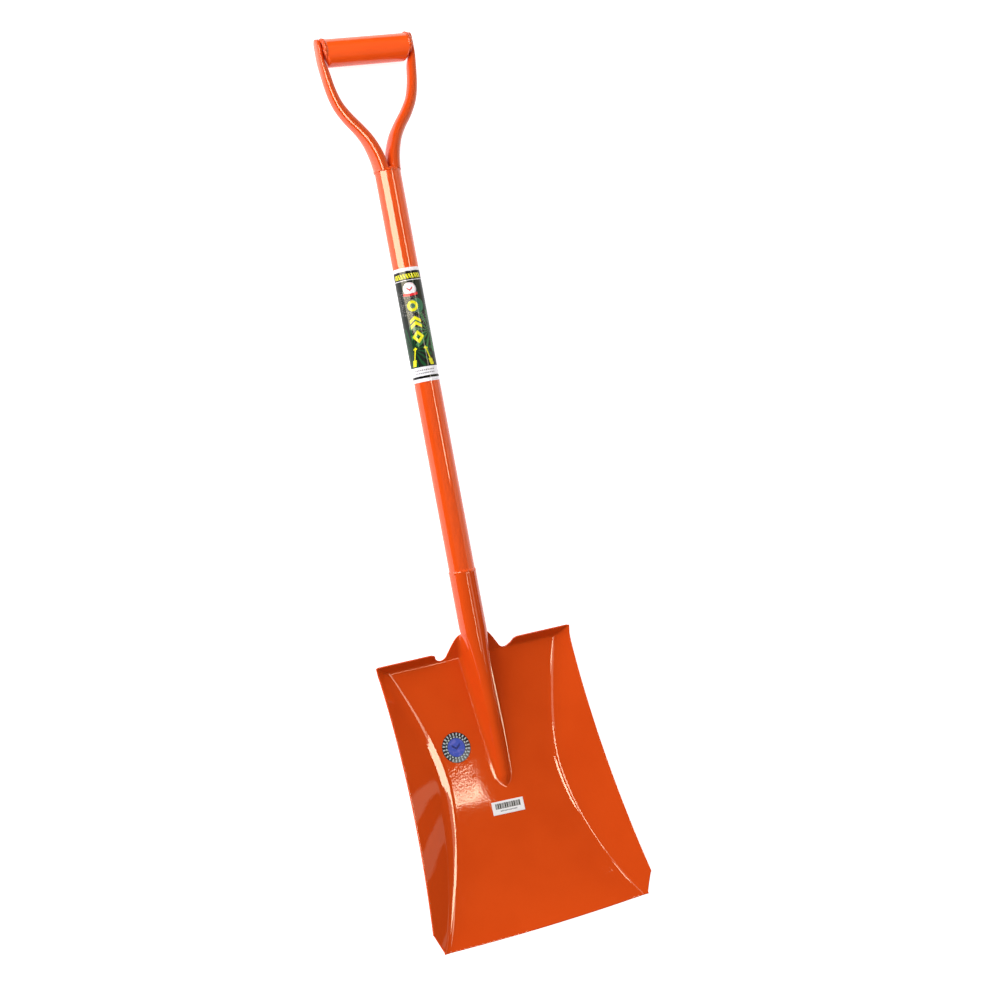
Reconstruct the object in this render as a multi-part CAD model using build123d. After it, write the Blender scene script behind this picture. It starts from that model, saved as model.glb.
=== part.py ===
from build123d import *
import math
import os

# Square-mouth steel shovel with a D-handle, lying on its back with the hollow side up.
# X runs across the blade, Y along the shaft towards the grip and Z up from the floor.
# A station is a distance along the shaft axis from the socket mouth, positive towards
# the grip, and a depth is a height measured from the shaft axis. All sizes are in mm.

# ---- shaft and grip ----
SHAFT_OD = 30.0
TUBE_WALL = 1.8
SHAFT_END = 465.7            # station of the weld between shaft and yoke
GRIP_STATION = 605.0
GRIP_OD = 32.0
GRIP_HALF = 52.0             # half length of the grip tube
GRIP_MITRE = 5.0             # how far the lower side of each grip end is cut back
PLATE_END = GRIP_STATION + 8.0   # where the round top of a branch plate begins
CUT_MARGIN = 1.0             # how far a cutting shape reaches past what it cuts

# ---- socket ----
SOCKET_OD = 31.5
SOCKET_START = -70.2         # station where the round socket opens into the blade
NECK_LENGTH = 60.0           # reduced end of the shaft inside the socket
NECK_GAP = 0.05
SOCKET_BACK_OPENING = 22.0   # how far the open back runs up into the socket

# ---- blade ----
SHEET = 1.8
HEEL = -97.0                 # fold line of the foot treads
HEEL_DEPTH = -15.7
PAN_SLOPE = 0.19             # rise of the pan per mm, near the heel
LIP_RISE = 24.1              # extra rise at the mouth
LIP_POWER = 5.0
MOUTH = -402.0
MOUTH_CORNER = (126.1, -400.6)
RIM_CORNER = (134.5, -377.0)
TREAD_EDGE = -87.7
TREAD_SLOPE = 1.19
COLLAR_SLOPE = 0.35
FOLD_BLEND = 2.0
FOLD_ZONE = (HEEL - 6.0, HEEL + 5.0)   # stations with closer mesh lines
CREASE_BLEND = (5.0, 10.0)     # at the mouth, and the widest further up
CREASE_BLEND_GROWTH = 0.04
MITRE_BLEND = 1.5
RIM_WAIST = (118.2, -155.0)  # narrowest half width of the blade, and its station
RIM_RADIUS = 1470.0
RIM_START = HEEL + 3.0       # station of the side rim at the tread corner, and its depth
RIM_DEPTH = -6.2
RIM_SLOPE = 0.2566
CREASE_WAIST = (73.2, -232.0)
CREASE_SPREAD_TOP = 38.8     # how much wider the crease is at the heel
CREASE_SPREAD_MOUTH = 48.8   # and at the mouth
CREASE_POWER = 1.7
NOTCH_X = 40.1
NOTCH_RADIUS = 9.0
COLLAR_FOOT = (32.5, -92.5)   # where the collar edge runs into the notch
COLLAR_BULGE = 1.8

# ---- ridge that continues the socket down the blade ----
RIDGE_TOP = SOCKET_OD / 2
RIDGE_TIP_TOP = 17.0
RIDGE_END = -249.0
RIDGE_NOSE = 14.0
RIDGE_NOSE_BLEND = 1.5
RIDGE_ZONE = (RIDGE_END - 6.0, RIDGE_END + RIDGE_NOSE + 2.0)
RIDGE_TIP_RADIUS = 6.5
RIDGE_TAPER = 45.0
RIDGE_FOOT = 5.0             # fillet along the foot of the ridge
RIDGE_LOWEST = 5.0           # least height, flank and foot widths for the mesh lines
RIDGE_LEAST_FLANK = 0.6
RIDGE_LEAST_FOOT = 1.5
CREASE_MARGIN = 1.5          # room between crease and rim, in blend widths
RIDGE_FLANK = (84.0, 58.0)   # steepest flank angle at the socket and at the tip

# ---- welds, label and stickers ----
BEAD_RADIUS = 2.8
BEAD_OD = 34.0
GRIP_BEAD = 2.4
GRIP_BEAD_SHIFT = 0.4         # how far inside the end of the grip its bead lies
SEAM_RADIUS = 1.2
SEAM_SHORTER = 6.0
WELD_BITE = 1.0               # how far a ring bead reaches into the tubes
WELD_ZONE = 10.0
LABEL_STATIONS = (221.0, 352.0)
LABEL_THICK = 0.15
SEAL_CENTRE = (-47.7, -194.6)
SEAL_DIAMETER = 34.5
CODE_CENTRE = (-4.8, -271.7)
CODE_SIZE = (38.9, 14.4)
CODE_TURN = -2.6
STICKER_THICK = 0.25
STICKER_GAP = 0.1            # lifts a sticker clear of the flat facets of the pan

SHAFT_RADIUS = SHAFT_OD / 2
AXIS_HEIGHT = BEAD_OD / 2
MID_STATION = (GRIP_STATION + GRIP_OD / 2 + MOUTH) / 2


def place(x, station, depth):
    return Vector(x, station - MID_STATION, depth + AXIS_HEIGHT)


def fractions(count):
    return [k / count for k in range(count + 1)]


def spread(start, end, count):
    return [start + (end - start) * t for t in fractions(count)]


# ---- height of the blade sheet ----

def ramp(t, blend):
    """0 below, t above, with a parabola between them."""
    if t <= -blend:
        return 0.0
    return t if t >= blend else (t + blend) ** 2 / (4 * blend)


def pan_depth(station):
    run = max(HEEL - station, 0.0)
    return HEEL_DEPTH + PAN_SLOPE * run + LIP_RISE * (run / (HEEL - MOUTH)) ** LIP_POWER


def rim_depth(station):
    return RIM_DEPTH + RIM_SLOPE * (RIM_START - station)


def rim_x(station):
    waist_x, waist_station = RIM_WAIST
    return waist_x + (station - waist_station) ** 2 / (2 * RIM_RADIUS)


def crease_x(station):
    waist_x, waist_station = CREASE_WAIST
    along = station - waist_station
    if along > 0:
        return waist_x + CREASE_SPREAD_TOP * (along / (HEEL - waist_station)) ** CREASE_POWER
    return waist_x + CREASE_SPREAD_MOUTH * (along / (MOUTH - waist_station)) ** CREASE_POWER


def crease_blend(station):
    return min(CREASE_BLEND[0] + CREASE_BLEND_GROWTH * (station - MOUTH), CREASE_BLEND[1])


def wall_rise(x, station):
    top = min(station, HEEL)
    blend = crease_blend(top)
    share = ramp(abs(x) - crease_x(top), blend) / ramp(rim_x(top) - crease_x(top), blend)
    return (rim_depth(top) - pan_depth(top)) * share


def top_rise(x, station):
    """The treads outside the notches, and the collar between them."""
    across = min(max((abs(x) - NOTCH_X + NOTCH_RADIUS) / (2 * NOTCH_RADIUS), 0.0), 1.0)
    slope = COLLAR_SLOPE + (TREAD_SLOPE - COLLAR_SLOPE) * across
    return slope * ramp(station - HEEL, FOLD_BLEND)


def base_depth(x, station):
    wall, top = wall_rise(x, station), top_rise(x, station)
    blend = min(MITRE_BLEND, wall, top) + 1e-6
    return pan_depth(station) + top + ramp(wall - top, blend)


def ridge_shape(station):
    """Height, crest radius and flank angle of the ridge at a station."""
    down = SOCKET_START - station
    share = down / (SOCKET_START - RIDGE_END)
    crest = RIDGE_TOP + (RIDGE_TIP_TOP - RIDGE_TOP) * share
    nose = min(max(ramp(station - RIDGE_END, RIDGE_NOSE_BLEND) / RIDGE_NOSE, 0.0), 1.0)
    height = (crest - base_depth(0, station)) * nose * (2 - nose)
    radius = RIDGE_TIP_RADIUS + (RIDGE_TOP - RIDGE_TIP_RADIUS) * math.exp(-down / RIDGE_TAPER)
    steep = RIDGE_FLANK[0] + (RIDGE_FLANK[1] - RIDGE_FLANK[0]) * min(max(share, 0.0), 1.0)
    return max(height, 0.0), min(radius, RIDGE_TOP), math.radians(steep)


def ridge_breaks(height, radius, steep):
    """Half widths where the crest arc, the flank and the foot fillet end."""
    arcs = radius + RIDGE_FOOT
    angle = min(steep, math.acos(max(1 - height / arcs, -1.0)))
    flank = (height - arcs * (1 - math.cos(angle))) / max(math.tan(angle), 1e-6)
    crest_end = radius * math.sin(angle)
    flank_end = crest_end + max(flank, 0.0)
    return crest_end, flank_end, flank_end + RIDGE_FOOT * math.sin(angle)


def ridge_rise(x, station):
    height, radius, steep = ridge_shape(station)
    if height < 1e-4:
        return 0.0
    crest_end, flank_end, foot_end = ridge_breaks(height, radius, steep)
    x = abs(x)
    foot_top = RIDGE_FOOT - math.sqrt(RIDGE_FOOT ** 2 - (foot_end - flank_end) ** 2)
    crest_low = height - radius + math.sqrt(radius ** 2 - crest_end ** 2)
    if x >= foot_end:
        return 0.0
    if x > flank_end:
        return RIDGE_FOOT - math.sqrt(RIDGE_FOOT ** 2 - (foot_end - x) ** 2)
    if x > crest_end:
        return crest_low + (foot_top - crest_low) * (x - crest_end) / (flank_end - crest_end)
    return height - radius + math.sqrt(radius ** 2 - x ** 2)


def blade_depth(x, station):
    return base_depth(x, station) + ridge_rise(x, station)


def sheet_normal(x, station):
    step = 0.02
    across = (blade_depth(x + step, station) - blade_depth(x - step, station)) / (2 * step)
    along = (blade_depth(x, station + step) - blade_depth(x, station - step)) / (2 * step)
    return Vector(-across, -along, 1).normalized()


# ---- blade ----

def outline_top(x):
    """Station of the blade's upper edge: socket, collar, notch and tread."""
    foot_x, foot_station = COLLAR_FOOT
    x = abs(x)
    if x <= SOCKET_OD / 2:
        return SOCKET_START
    if x < foot_x:
        share = (x - SOCKET_OD / 2) / (foot_x - SOCKET_OD / 2)
        bulge = 4 * COLLAR_BULGE * share * (1 - share)
        return SOCKET_START + (foot_station - SOCKET_START) * share + bulge
    if x < NOTCH_X + NOTCH_RADIUS:
        return TREAD_EDGE - math.sqrt(NOTCH_RADIUS ** 2 - (x - NOTCH_X) ** 2)
    return TREAD_EDGE


def outline_bottom(x):
    """Station of the cutting edge, a shallow arc between the mouth corners."""
    corner_x, corner_station = MOUTH_CORNER
    return MOUTH + (corner_station - MOUTH) * min(abs(x) / corner_x, 1.0) ** 2


def edge_x(station):
    """Half width of the blade: the side rim, then the cut-off mouth corner."""
    (rim_end, rim_station), (mouth_x, mouth_station) = RIM_CORNER, MOUTH_CORNER
    if station >= rim_station:
        return rim_x(station)
    share = (rim_station - station) / (rim_station - mouth_station)
    return rim_end + (mouth_x - rim_end) * min(share, 1.0)


def blade_columns(station):
    """Half widths of the mesh lines that follow ridge, notch, crease and rim."""
    height, radius, steep = ridge_shape(station)
    crest_end, flank_end, foot_end = ridge_breaks(max(height, RIDGE_LOWEST), radius, steep)
    flank_end = max(flank_end, crest_end + RIDGE_LEAST_FLANK)
    foot_end = max(foot_end, flank_end + RIDGE_LEAST_FOOT)
    low = min(station, FOLD_ZONE[0])
    pan_start = NOTCH_X - NOTCH_RADIUS
    blend = crease_blend(low)
    crease = min(crease_x(low), edge_x(station) - CREASE_MARGIN * blend)
    pan_end = crease - blend
    share = (pan_end - pan_start) / (crease_x(FOLD_ZONE[0]) - blend - pan_start)
    notch = [-NOTCH_RADIUS * math.cos(math.pi * t) for t in fractions(6)]
    columns = spread(0.0, crest_end, 4) + [flank_end, (flank_end + foot_end) / 2, foot_end]
    columns += [pan_start + share * (NOTCH_RADIUS + n) for n in notch]
    columns += spread(columns[-1], pan_end, 3)[1:]
    columns += spread(pan_end, crease + blend, 4)[1:] + [edge_x(station)]
    return columns


def blade_stations():
    rows = spread(MOUTH, RIM_CORNER[1], 2)
    rows += spread(RIM_CORNER[1], RIDGE_ZONE[0], 6)[1:]
    rows += spread(RIDGE_ZONE[0], RIDGE_ZONE[1], 5)[1:]
    rows += spread(RIDGE_ZONE[1], FOLD_ZONE[0], 7)[1:]
    rows += spread(FOLD_ZONE[0], FOLD_ZONE[1], 5)[1:]
    return rows + [(FOLD_ZONE[1] + SOCKET_START) / 2, SOCKET_START]


def fit_station(x, station):
    """Moves a nominal station so that the first and last rows follow the outline."""
    low, high = RIM_CORNER[1], FOLD_ZONE[0]
    if station > high:
        share = (station - high) / (SOCKET_START - high)
        return high + share * (outline_top(x) - high)
    if station < low:
        share = (low - station) / (low - MOUTH)
        return low + share * (outline_bottom(x) - low)
    return station


def blade_grid(offset):
    """Points on the sheet, offset down along its normal."""
    rows = []
    for nominal in blade_stations():
        half = blade_columns(nominal)
        row = []
        for x in [-c for c in reversed(half)] + half[1:]:
            station = fit_station(x, nominal)
            normal = sheet_normal(x, station)
            if station >= SOCKET_START - 0.01:
                normal = Vector(normal.X, 0, normal.Z).normalized()
            row.append(place(x, station, blade_depth(x, station)) - normal * offset)
        rows.append(row)
    return rows


def triangle(a, b, c):
    return Face(Wire.make_polygon([a, b, c], close=True))


def quad(a, b, c, d):
    return [triangle(a, b, c), triangle(a, c, d)]


def make_sheet():
    """The pressed sheet as a closed solid between its front and back grids."""
    front, back = blade_grid(0.0), blade_grid(SHEET)
    last_row, last_column = len(front) - 1, len(front[0]) - 1
    faces = []
    for i in range(last_row):
        for j in range(last_column):
            for grid in (front, back):
                faces += quad(grid[i][j], grid[i][j + 1], grid[i + 1][j + 1], grid[i + 1][j])
    for i in range(last_row):
        for j in (0, last_column):
            faces += quad(front[i][j], front[i + 1][j], back[i + 1][j], back[i][j])
    for j in range(last_column):
        for i in (0, last_row):
            faces += quad(front[i][j], front[i][j + 1], back[i][j + 1], back[i][j])
    return Solid(Shell(faces))


def ring(outer, inner, start, end):
    """A tube along the shaft axis between two stations."""
    axis_plane = Plane(origin=place(0, start, 0), x_dir=(1, 0, 0), z_dir=(0, 1, 0))
    length = end - start
    outside = axis_plane * Cylinder(outer / 2, length, align=(Align.CENTER, Align.CENTER, Align.MIN))
    if inner <= 0:
        return outside
    return outside - axis_plane * Cylinder(
        inner / 2, length, align=(Align.CENTER, Align.CENTER, Align.MIN))


def socket_opening():
    """Wedge that opens the back of the socket where it becomes the ridge."""
    deep = -SOCKET_OD / 2 - CUT_MARGIN
    rise = SOCKET_BACK_OPENING * (-deep) / (SOCKET_OD / 2)
    corners = [place(0, SOCKET_START - CUT_MARGIN, 0), place(0, SOCKET_START, 0),
               place(0, SOCKET_START + rise, deep), place(0, SOCKET_START - CUT_MARGIN, deep)]
    side = make_face(Polyline(*corners, close=True))
    return extrude(side, amount=SOCKET_OD, dir=(1, 0, 0), both=True)


def make_blade():
    socket = ring(SOCKET_OD, SOCKET_OD - 2 * SHEET, SOCKET_START, 0.0) - socket_opening()
    return make_sheet() + socket


# ---- shaft, yoke and grip ----

def make_shaft():
    neck = SOCKET_OD - 2 * SHEET - 2 * NECK_GAP
    body = ring(SHAFT_OD, SHAFT_OD - 2 * TUBE_WALL, 0.0, SHAFT_END)
    reduced = ring(neck, neck - 2 * TUBE_WALL, -NECK_LENGTH, 0.0)
    return body + reduced


# Each section of a branch: distance from the axis, station, half width, half depth and
# how square its inner side is. The foot is a half round and the top is pressed flat.
BRANCH_SECTIONS = [
    (7.6, SHAFT_END, 7.3, 14.6, 0.35),
    (10.0, SHAFT_END + 17.0, 7.6, 13.5, 0.5),
    (16.0, SHAFT_END + 35.5, 7.4, 11.6, 0.8),
    (24.3, SHAFT_END + 49.5, 7.0, 10.0, 1.0),
    (35.3, SHAFT_END + 64.0, 6.8, 9.2, 1.0),
    (44.3, SHAFT_END + 79.5, 6.3, 8.8, 1.0),
    (49.6, SHAFT_END + 97.5, 5.8, 8.6, 1.0),
    (52.6, SHAFT_END + 117.0, 5.0, 8.6, 1.0),
    (54.9, SHAFT_END + 130.0, 3.4, 8.7, 1.0),
    (55.2, PLATE_END, 3.2, 8.7, 1.0),
]
SECTION_POINTS = 24
HOLLOW_SECTIONS = 8
CAP_SETBACK = 0.3            # keeps the round top inside the faces of the plate
CAP_BOX = (20, 20, 30)


def power(value, exponent):
    return math.copysign(abs(value) ** exponent, value)


def branch_section(index, shrink):
    x, station, half_width, half_depth, inner = BRANCH_SECTIONS[index]
    before = BRANCH_SECTIONS[max(index - 1, 0)]
    after = BRANCH_SECTIONS[min(index + 1, len(BRANCH_SECTIONS) - 1)]
    lean = Vector(after[0] - before[0], after[1] - before[1], 0).normalized()
    if index in (0, len(BRANCH_SECTIONS) - 1):
        lean = Vector(0, 1, 0)
    across = Vector(lean.Y, -lean.X, 0)
    points = []
    for k in range(SECTION_POINTS):
        angle = 2 * math.pi * k / SECTION_POINTS
        side = power(math.cos(angle), inner if math.cos(angle) < 0 else 1.0)
        offset = across * ((half_width - shrink) * side)
        depth = (half_depth - shrink) * math.sin(angle)
        points.append(place(x, station, 0) + offset + Vector(0, 0, depth))
    return make_face(Spline(*points, periodic=True))


def make_branch():
    """The right-hand branch; the left one is its mirror image."""
    outside = loft([branch_section(k, 0.0) for k in range(len(BRANCH_SECTIONS))])
    inside = loft([branch_section(k, TUBE_WALL) for k in range(HOLLOW_SECTIONS)])
    top = place(0, PLATE_END, 0)
    plate_x, _, plate_width, plate_half, _ = BRANCH_SECTIONS[-1]
    cap_plane = Plane(origin=(plate_x, top.Y, top.Z), x_dir=(0, 1, 0), z_dir=(1, 0, 0))
    cap = cap_plane * Cylinder(plate_half, 2 * (plate_width - CAP_SETBACK))
    below = Location((plate_x, top.Y - CAP_BOX[1] / 2, top.Z)) * Box(*CAP_BOX)
    return outside + (cap - below) - inside


def make_grip():
    axis_plane = Plane(origin=place(0, GRIP_STATION, 0), x_dir=(0, 1, 0), z_dir=(1, 0, 0))
    tube = axis_plane * Cylinder(GRIP_OD / 2, 2 * GRIP_HALF)
    tube -= axis_plane * Cylinder(GRIP_OD / 2 - TUBE_WALL, 2 * (GRIP_HALF + CUT_MARGIN))
    low = GRIP_STATION - GRIP_OD / 2 - CUT_MARGIN
    for side in (-1, 1):
        beyond = side * (GRIP_HALF + CUT_MARGIN)
        corners = [place(side * (GRIP_HALF - GRIP_MITRE), low, 0), place(beyond, low, 0),
                   place(beyond, GRIP_STATION, 0), place(side * GRIP_HALF, GRIP_STATION, 0)]
        wedge = make_face(Polyline(*corners, close=True))
        tube -= extrude(wedge, amount=GRIP_OD, dir=(0, 0, 1), both=True)
    return tube


# ---- welds, label and stickers ----

def ring_bead(station):
    plane = Plane(origin=place(0, station, 0), x_dir=(1, 0, 0), z_dir=(0, 1, 0))
    return plane * Torus(BEAD_OD / 2 - BEAD_RADIUS, BEAD_RADIUS)


def grip_bead(side):
    origin = place(side * (GRIP_HALF - GRIP_BEAD_SHIFT), GRIP_STATION, 0)
    plane = Plane(origin=origin, x_dir=(0, 1, 0), z_dir=(1, 0, 0))
    return plane * Torus(GRIP_OD / 2 - GRIP_BEAD, GRIP_BEAD)


def pan_patch(outline, thickness):
    """A thin sticker that follows the pan under a plan outline."""
    box = outline.bounding_box()
    start, end = box.min.Y + MID_STATION - CUT_MARGIN, box.max.Y + MID_STATION + CUT_MARGIN
    low = [place(0, s, pan_depth(s) + STICKER_GAP) for s in spread(start, end, 8)]
    high = [p + Vector(0, 0, thickness) for p in reversed(low)]
    ends = [Line(low[-1], high[0]), Line(high[-1], low[0])]
    profile = make_face(Curve() + [Spline(*low), ends[0], Spline(*high), ends[1]])
    strip = extrude(profile, amount=RIM_CORNER[0], dir=(1, 0, 0), both=True)
    return strip & extrude(outline, amount=RIM_CORNER[0])


def make_seal():
    centre = (SEAL_CENTRE[0], SEAL_CENTRE[1] - MID_STATION)
    return pan_patch(Pos(*centre) * Circle(SEAL_DIAMETER / 2), STICKER_THICK)


def make_code_sticker():
    centre = (CODE_CENTRE[0], CODE_CENTRE[1] - MID_STATION)
    return pan_patch(Pos(*centre) * Rot(0, 0, CODE_TURN) * Rectangle(*CODE_SIZE), STICKER_THICK)


# ---- the parts ----

blade = make_blade()
shaft = make_shaft()
branch_right = make_branch()
branch_left = mirror(branch_right, about=Plane.YZ)
grip = make_grip() - branch_right - branch_left
label = ring(SHAFT_OD + 2 * LABEL_THICK, SHAFT_OD, *LABEL_STATIONS)
socket_weld = ring_bead(0.0) - blade - shaft
socket_weld -= ring(SOCKET_OD - WELD_BITE, 0.0, -WELD_ZONE, WELD_ZONE)
yoke_weld = ring_bead(SHAFT_END) - shaft - branch_left - branch_right
yoke_weld -= ring(SHAFT_OD - WELD_BITE, 0.0, SHAFT_END - WELD_ZONE, SHAFT_END + WELD_ZONE)
grip_weld_right = grip_bead(1) - grip - branch_right
grip_weld_left = grip_bead(-1) - grip - branch_left

seam_start = SOCKET_START + SOCKET_BACK_OPENING
seam_centre = place(0, seam_start / 2, -SOCKET_OD / 2)
seam = Pos(*seam_centre) * Rot(90, 0, 0) * Cylinder(SEAM_RADIUS, -seam_start - SEAM_SHORTER)
seam_weld = seam - ring(SOCKET_OD, 0.0, SOCKET_START, 0.0)

PARTS = {
    "blade": blade,
    "socket_seam_weld": seam_weld,
    "shaft_tube": shaft,
    "socket_weld": socket_weld,
    "yoke_weld": yoke_weld,
    "yoke_branch_left": branch_left,
    "yoke_branch_right": branch_right,
    "grip_tube": grip,
    "grip_weld_left": grip_weld_left,
    "grip_weld_right": grip_weld_right,
    "shaft_label": label,
    "round_seal": make_seal(),
    "barcode_sticker": make_code_sticker(),
}

os.makedirs("parts", exist_ok=True)
for name, part in PARTS.items():
    export_step(part, f"parts/{name}.step")
    print(name, len(part.solids()), round(part.volume, 1), part.bounding_box().size)
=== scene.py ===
import math

import bpy
import numpy as np
from mathutils import Matrix, Vector


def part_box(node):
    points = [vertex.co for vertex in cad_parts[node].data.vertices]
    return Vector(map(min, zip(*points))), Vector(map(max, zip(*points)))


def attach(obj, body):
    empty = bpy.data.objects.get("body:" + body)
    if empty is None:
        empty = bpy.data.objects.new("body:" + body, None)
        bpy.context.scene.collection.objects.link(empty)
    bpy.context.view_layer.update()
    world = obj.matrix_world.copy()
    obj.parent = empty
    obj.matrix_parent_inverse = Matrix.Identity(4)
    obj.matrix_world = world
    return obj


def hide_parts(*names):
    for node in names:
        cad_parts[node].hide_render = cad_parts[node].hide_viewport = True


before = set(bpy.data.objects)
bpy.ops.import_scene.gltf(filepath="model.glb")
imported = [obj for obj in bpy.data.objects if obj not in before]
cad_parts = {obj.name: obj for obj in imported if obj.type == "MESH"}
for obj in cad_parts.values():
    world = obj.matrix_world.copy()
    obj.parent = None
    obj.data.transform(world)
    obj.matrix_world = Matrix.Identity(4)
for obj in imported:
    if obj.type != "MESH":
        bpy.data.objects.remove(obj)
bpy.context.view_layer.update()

# Square-mouth steel shovel with a D-handle, lying on its back with the hollow side up.
# Shapes are worked out in millimetres, as in the CAD: x across, a station along the shaft
# from the socket mouth towards the grip, and a depth above the shaft axis. place() turns
# them into metres in the CAD frame.
MM = 0.001


def node_box(name):
    low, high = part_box(name)
    return [v / MM for v in low], [v / MM for v in high]


SHAFT_LOW, SHAFT_HIGH = node_box("shaft_tube")
BLADE_LOW, _ = node_box("blade")
GRIP_LOW, GRIP_HIGH = node_box("grip_tube")
LABEL_LOW, LABEL_HIGH = node_box("shaft_label")
SEAL_LOW, SEAL_HIGH = node_box("round_seal")

SHAFT_RADIUS = (SHAFT_HIGH[0] - SHAFT_LOW[0]) / 2
AXIS_HEIGHT = (SHAFT_LOW[2] + SHAFT_HIGH[2]) / 2
SHAFT_END = 465.7
MID_STATION = SHAFT_END - SHAFT_HIGH[1]
MOUTH = BLADE_LOW[1] + MID_STATION
GRIP_OD = GRIP_HIGH[1] - GRIP_LOW[1]
GRIP_STATION = (GRIP_LOW[1] + GRIP_HIGH[1]) / 2 + MID_STATION
GRIP_HALF = 52.0
GRIP_MITRE = 5.0
GRIP_ROUND = 2.5

# ---- blade sizes ----
SHEET = 1.8
SOCKET_OD = 31.5
SOCKET_START = -70.2
SOCKET_BACK_OPENING = 22.0
HEEL = -97.0
HEEL_DEPTH = -15.7
PAN_SLOPE = 0.19
LIP_RISE = 24.1
LIP_POWER = 5.0
MOUTH_CORNER = (126.1, -400.6)
RIM_CORNER = (134.5, -377.0)
TREAD_EDGE = -87.7
TREAD_SLOPE = 1.19
COLLAR_SLOPE = 0.35
FOLD_BLEND = 2.0
FOLD_ZONE = (HEEL - 6.0, HEEL + 5.0)
CREASE_BLEND = (5.0, 10.0)
CREASE_BLEND_GROWTH = 0.04
CREASE_MARGIN = 1.2
MITRE_BLEND = 1.5
RIM_WAIST = (118.2, -155.0)
RIM_RADIUS = 1470.0
RIM_START = HEEL + 3.0
RIM_DEPTH = -6.2
RIM_SLOPE = 0.2566
CREASE_WAIST = (73.2, -232.0)
CREASE_SPREAD_TOP = 38.8
CREASE_SPREAD_MOUTH = 48.8
CREASE_POWER = 1.7
NOTCH_X = 40.1
NOTCH_RADIUS = 9.0
COLLAR_FOOT = (32.5, -92.5)
COLLAR_BULGE = 1.8
RIDGE_TOP = SOCKET_OD / 2
RIDGE_TIP_TOP = 17.0
RIDGE_END = -249.0
RIDGE_NOSE = 14.0
RIDGE_NOSE_BLEND = 1.5
RIDGE_ZONE = (RIDGE_END - 6.0, RIDGE_END + RIDGE_NOSE + 2.0)
RIDGE_TIP_RADIUS = 6.5
RIDGE_TAPER = 45.0
RIDGE_FOOT = 5.0
RIDGE_FLANK = (84.0, 58.0)
RIDGE_LOWEST = 5.0           # least height, flank and foot widths for the mesh lines
RIDGE_LEAST_FLANK = 0.6
RIDGE_LEAST_FOOT = 1.5

# ---- label and sticker sizes ----
LABEL_TURN = math.radians(20.7)
LABEL_END = LABEL_HIGH[1] + MID_STATION
SEAL_CENTRE = ((SEAL_LOW[0] + SEAL_HIGH[0]) / 2, (SEAL_LOW[1] + SEAL_HIGH[1]) / 2 + MID_STATION)
SEAL_RADIUS = (SEAL_HIGH[0] - SEAL_LOW[0]) / 2
SEAL_DISC = 10.3             # radius of the blue centre
CODE_CENTRE = (-4.8, -271.7)
CODE_SIZE = (38.9, 14.4)
CODE_TURN = math.radians(-2.6)
STICKER_LIFT = 0.12
STICKER_THICK = 0.2

# ---- weld sizes ----
RING_WELD_BEAD = 2.0
RING_WELD_DEPTH = 0.6        # how far the middle of the bead lies inside the shaft's surface
GRIP_WELD_BEAD = 2.6
GRIP_WELD_HALF_TURN = 128.0  # degrees each side of the grip's upper line
SEAM_WELD_BEAD = 1.25
SEAM_WELD_GAP = 3.0

# ---- mesh resolution ----
CREST_COLUMNS = 14
SOCKET_BACK_COLUMNS = 44
SOCKET_ROWS = 36
RIM_STEPS = 4                # facets across a rounded sheet edge
AROUND = 96
WELD_ACROSS = 14


def place(x, station, depth):
    """Millimetre shovel coordinates to metres in the CAD frame."""
    return (x * MM, (station - MID_STATION) * MM, (depth + AXIS_HEIGHT) * MM)


def place_all(points):
    return [place(*p) for p in points]


def spread(start, end, count):
    return [start + (end - start) * k / count for k in range(count + 1)]


# ---- camera, floor and light ----

CAMERA_AT = (-0.6966, 0.0078, 1.862)
CAMERA_FORWARD = (0.38030, -0.02258, -0.92459)
CAMERA_UP = (0.17799, 0.98280, 0.04921)
CAMERA_LENS = 61.9
FLOOR_SIZE = 16.0
FLOOR_LEVEL = -0.0006        # just under the lowest mesh point, -0.57 mm on the left grip weld bead
SOFT_LIGHT = 0.60
DARK_LIGHT = 0.015
WARM_LIGHT = (1.0, 0.93, 0.68)
FLOOR_GLOW = 0.82
BLADE_MIDDLE = (0.0, -0.35, 0.0)


def add_camera():
    data = bpy.data.cameras.new("photo_camera")
    data.lens = CAMERA_LENS
    data.sensor_width = 36.0
    camera = bpy.data.objects.new("photo_camera", data)
    back, up = -Vector(CAMERA_FORWARD), Vector(CAMERA_UP)
    right = up.cross(back).normalized()
    axes = Matrix((right, back.cross(right), back)).transposed()
    camera.matrix_world = Matrix.Translation(CAMERA_AT) @ axes.to_4x4()
    bpy.context.scene.collection.objects.link(camera)
    bpy.context.scene.camera = camera


def add_area(name, centre, size, facing, radiance, receivers=None):
    """A rectangular light with its sides along Y and across it, facing the given way."""
    data = bpy.data.lights.new(name, "AREA")
    data.shape = "RECTANGLE"
    data.size, data.size_y = size
    data.energy = radiance * math.pi * size[0] * size[1]
    data.color = WARM_LIGHT
    lamp = bpy.data.objects.new(name, data)
    back = -Vector(facing).normalized()
    along = (Vector((0, 1, 0)) - back * back.y).normalized()
    axes = Matrix((along.cross(back), along, back)).transposed()
    lamp.matrix_world = Matrix.Translation(centre) @ axes.to_4x4()
    bpy.context.scene.collection.objects.link(lamp)
    if receivers:
        lamp.light_linking.receiver_collection = receivers
    return lamp


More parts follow.
